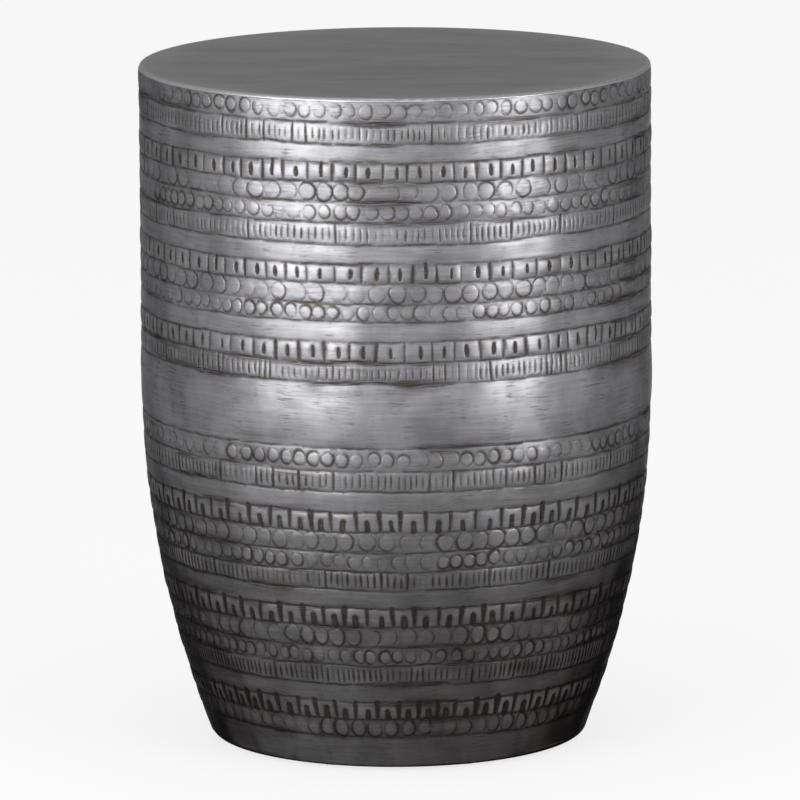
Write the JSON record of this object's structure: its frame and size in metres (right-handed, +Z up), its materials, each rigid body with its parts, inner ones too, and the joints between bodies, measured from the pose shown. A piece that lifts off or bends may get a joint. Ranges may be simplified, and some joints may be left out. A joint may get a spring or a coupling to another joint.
{
  "type": "drum side table",
  "caption": "Hollow sheet-metal drum side table: flat round top, straight upper wall and barrel-curved lower wall with chased ornament bands, open below and standing on low glides.",
  "frame": {"origin": "on the floor, below the middle of the drum, at the underside of the glides", "axes": "+Z up along the drum's axis; front towards -Y; the vertical seam of the sheets is at +Y"},
  "size_m": [0.38, 0.38, 0.508],
  "materials": {
    "pewter_sheet": "embossed aluminium sheet, brushed, with a dark antique pewter patina in the chased marks",
    "pewter_top": "brushed aluminium sheet with a dark antique pewter finish",
    "bare_aluminium": "mill-finish aluminium strip",
    "fibreboard": "raw wood fibreboard",
    "zinc_steel": "zinc-plated steel",
    "black_nylon": "moulded black nylon"
  },
  "bodies": {
    "root": {"top_disc": "pewter_top", "top_board": "fibreboard", "top_ring": "bare_aluminium", "board_screws": "zinc_steel", "upper_shell": "pewter_sheet", "lower_shell": "pewter_sheet", "splice_band": "bare_aluminium", "upper_seam_strap": "bare_aluminium", "lower_seam_strap": "bare_aluminium", "base_ring": "bare_aluminium", "base_rivets": "bare_aluminium", "front_left_glide": "black_nylon", "front_right_glide": "black_nylon", "back_left_glide": "black_nylon", "back_right_glide": "black_nylon"}
  },
  "joints": []
}
